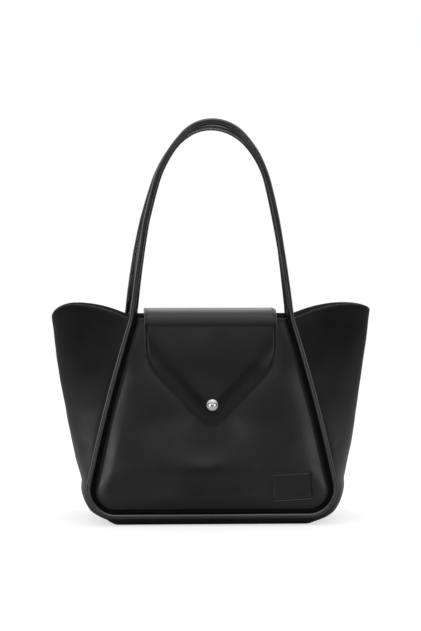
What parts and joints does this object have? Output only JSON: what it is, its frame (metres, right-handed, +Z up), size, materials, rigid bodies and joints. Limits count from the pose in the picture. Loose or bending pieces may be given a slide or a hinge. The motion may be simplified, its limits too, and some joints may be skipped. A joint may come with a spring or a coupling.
{
  "type": "trapeze bag",
  "caption": "Leather trapeze bag: flat trapezoid panels, standing wing gussets, rolled handles that run on as piping, and an envelope flap with a magnetic snap.",
  "frame": {"origin": "on the floor under the middle of the bag's base", "axes": "+X to the right seen from the front, +Y to the back, +Z up"},
  "size_m": [0.3982, 0.134, 0.4975],
  "materials": {
    "panel_leather": "smooth satin black leather",
    "gusset_leather": "smooth satin black leather, left unlined inside",
    "roll_leather": "satin black leather rolled round a cord",
    "flap_leather": "smooth satin black leather with painted edges",
    "lining_leather": "matte black leather",
    "seam_tape": "thin matte leather strip",
    "cord_filler": "twisted cotton cord",
    "polished_nickel": "polished",
    "plain_nickel": "plain plated",
    "magnet_metal": "dull plated magnet"
  },
  "bodies": {
    "bag_body": {"front_panel": "panel_leather", "back_panel": "panel_leather", "left_gusset": "gusset_leather", "right_gusset": "gusset_leather", "base_seam_tape": "seam_tape", "front_piping": "roll_leather", "front_piping_core": "cord_filler", "back_piping": "roll_leather", "back_piping_core": "cord_filler", "front_handle_necks": "roll_leather", "back_handle_necks": "roll_leather", "flap_tail": "flap_leather", "flap_back_bend": "flap_leather", "snap_stud": "plain_nickel", "snap_stud_rivet": "plain_nickel"},
    "flap_arch": {"flap_top": "flap_leather", "flap_top_lining": "lining_leather", "flap_front_bend": "flap_leather"},
    "flap_drop": {"flap_front": "flap_leather", "flap_front_lining": "lining_leather", "snap_cap": "polished_nickel", "snap_socket": "plain_nickel", "snap_magnet": "magnet_metal"},
    "front_loop": {"front_handle": "roll_leather", "front_handle_core": "cord_filler"},
    "back_loop": {"back_handle": "roll_leather", "back_handle_core": "cord_filler"}
  },
  "joints": [
    {"name": "flap_open", "type": "hinge", "parent": "bag_body", "child": "flap_arch", "pos_m": [0, 0.03981, 0.25161], "axis": [-1, 0, 0], "range_deg": [0, 72], "deforming": ["flap_back_bend"]},
    {"name": "flap_unbend", "type": "hinge", "parent": "flap_arch", "child": "flap_drop", "pos_m": [0, -0.0435, 0.24533], "axis": [-1, 0, 0], "range_deg": [0, 28.8], "deforming": ["flap_front_bend"]},
    {"name": "front_handle_swing", "type": "hinge", "parent": "bag_body", "child": "front_loop", "pos_m": [0, -0.04559, 0.25748], "axis": [1, 0, 0], "range_deg": [-1, 115], "stiffness_Nm_per_rad": 0.3, "deforming": ["front_handle_necks"]},
    {"name": "back_handle_swing", "type": "hinge", "parent": "bag_body", "child": "back_loop", "pos_m": [0, 0.0454, 0.25998], "axis": [-1, 0, 0], "range_deg": [-3, 115], "stiffness_Nm_per_rad": 0.3, "deforming": ["back_handle_necks"]}
  ],
  "couplings": [
    {"joint": "flap_unbend", "follows": "flap_open", "ratio": 0.4}
  ]
}
